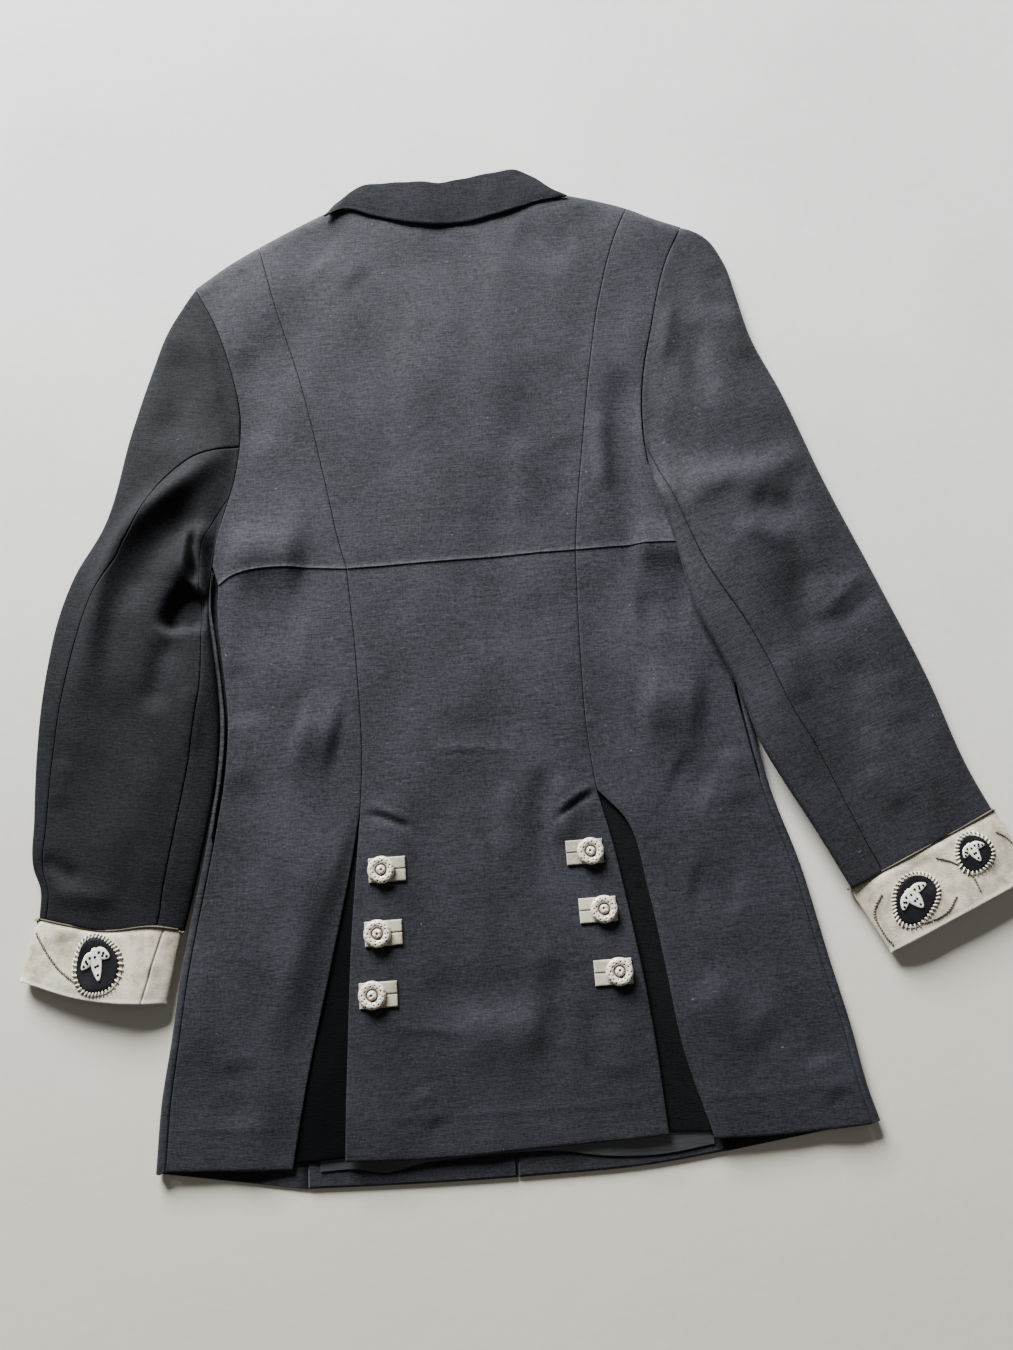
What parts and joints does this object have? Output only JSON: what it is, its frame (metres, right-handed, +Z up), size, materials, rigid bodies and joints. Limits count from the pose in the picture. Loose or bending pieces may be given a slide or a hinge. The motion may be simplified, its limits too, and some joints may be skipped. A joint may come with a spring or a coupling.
{
  "type": "frock coat laid flat, back up",
  "caption": "Dark linen frock coat laid face down, with seamed back, tail panel over two vents, suede cuffs and metal buttons on suede tabs",
  "frame": {"origin": "middle of the laid coat's box, on the surface it lies on", "axes": "+Z up from the surface, +Y towards the collar, +X towards the wearer's right sleeve"},
  "size_m": [0.788, 0.8689, 0.0233],
  "materials": {
    "linen": "matte slubby plain weave",
    "satin": "satin lining",
    "suede": "suede",
    "black_leather": "matte",
    "old_silver": "antique silver plate"
  },
  "bodies": {
    "root": {"back_upper_centre": "linen", "back_upper_side_left": "linen", "back_upper_side_right": "linen", "back_tail": "linen", "back_skirt_left": "linen", "back_skirt_right": "linen", "vent_underlay_left": "linen", "vent_underlay_right": "linen", "front_left": "linen", "front_right": "linen", "front_side_left": "linen", "front_side_right": "linen", "collar": "linen", "sleeve_left_upper": "linen", "sleeve_left_under": "linen", "sleeve_right_upper": "linen", "sleeve_right_under": "linen", "lining_hem": "satin", "cuff_left": "suede", "cuff_right": "suede", "patch_left_1": "black_leather", "patch_right_1": "black_leather", "patch_right_2": "black_leather", "tab_left_1": "suede", "button_left_1": "old_silver", "tab_left_2": "suede", "button_left_2": "old_silver", "tab_left_3": "suede", "button_left_3": "old_silver", "tab_right_1": "suede", "button_right_1": "old_silver", "tab_right_2": "suede", "button_right_2": "old_silver", "tab_right_3": "suede", "button_right_3": "old_silver"}
  },
  "joints": []
}
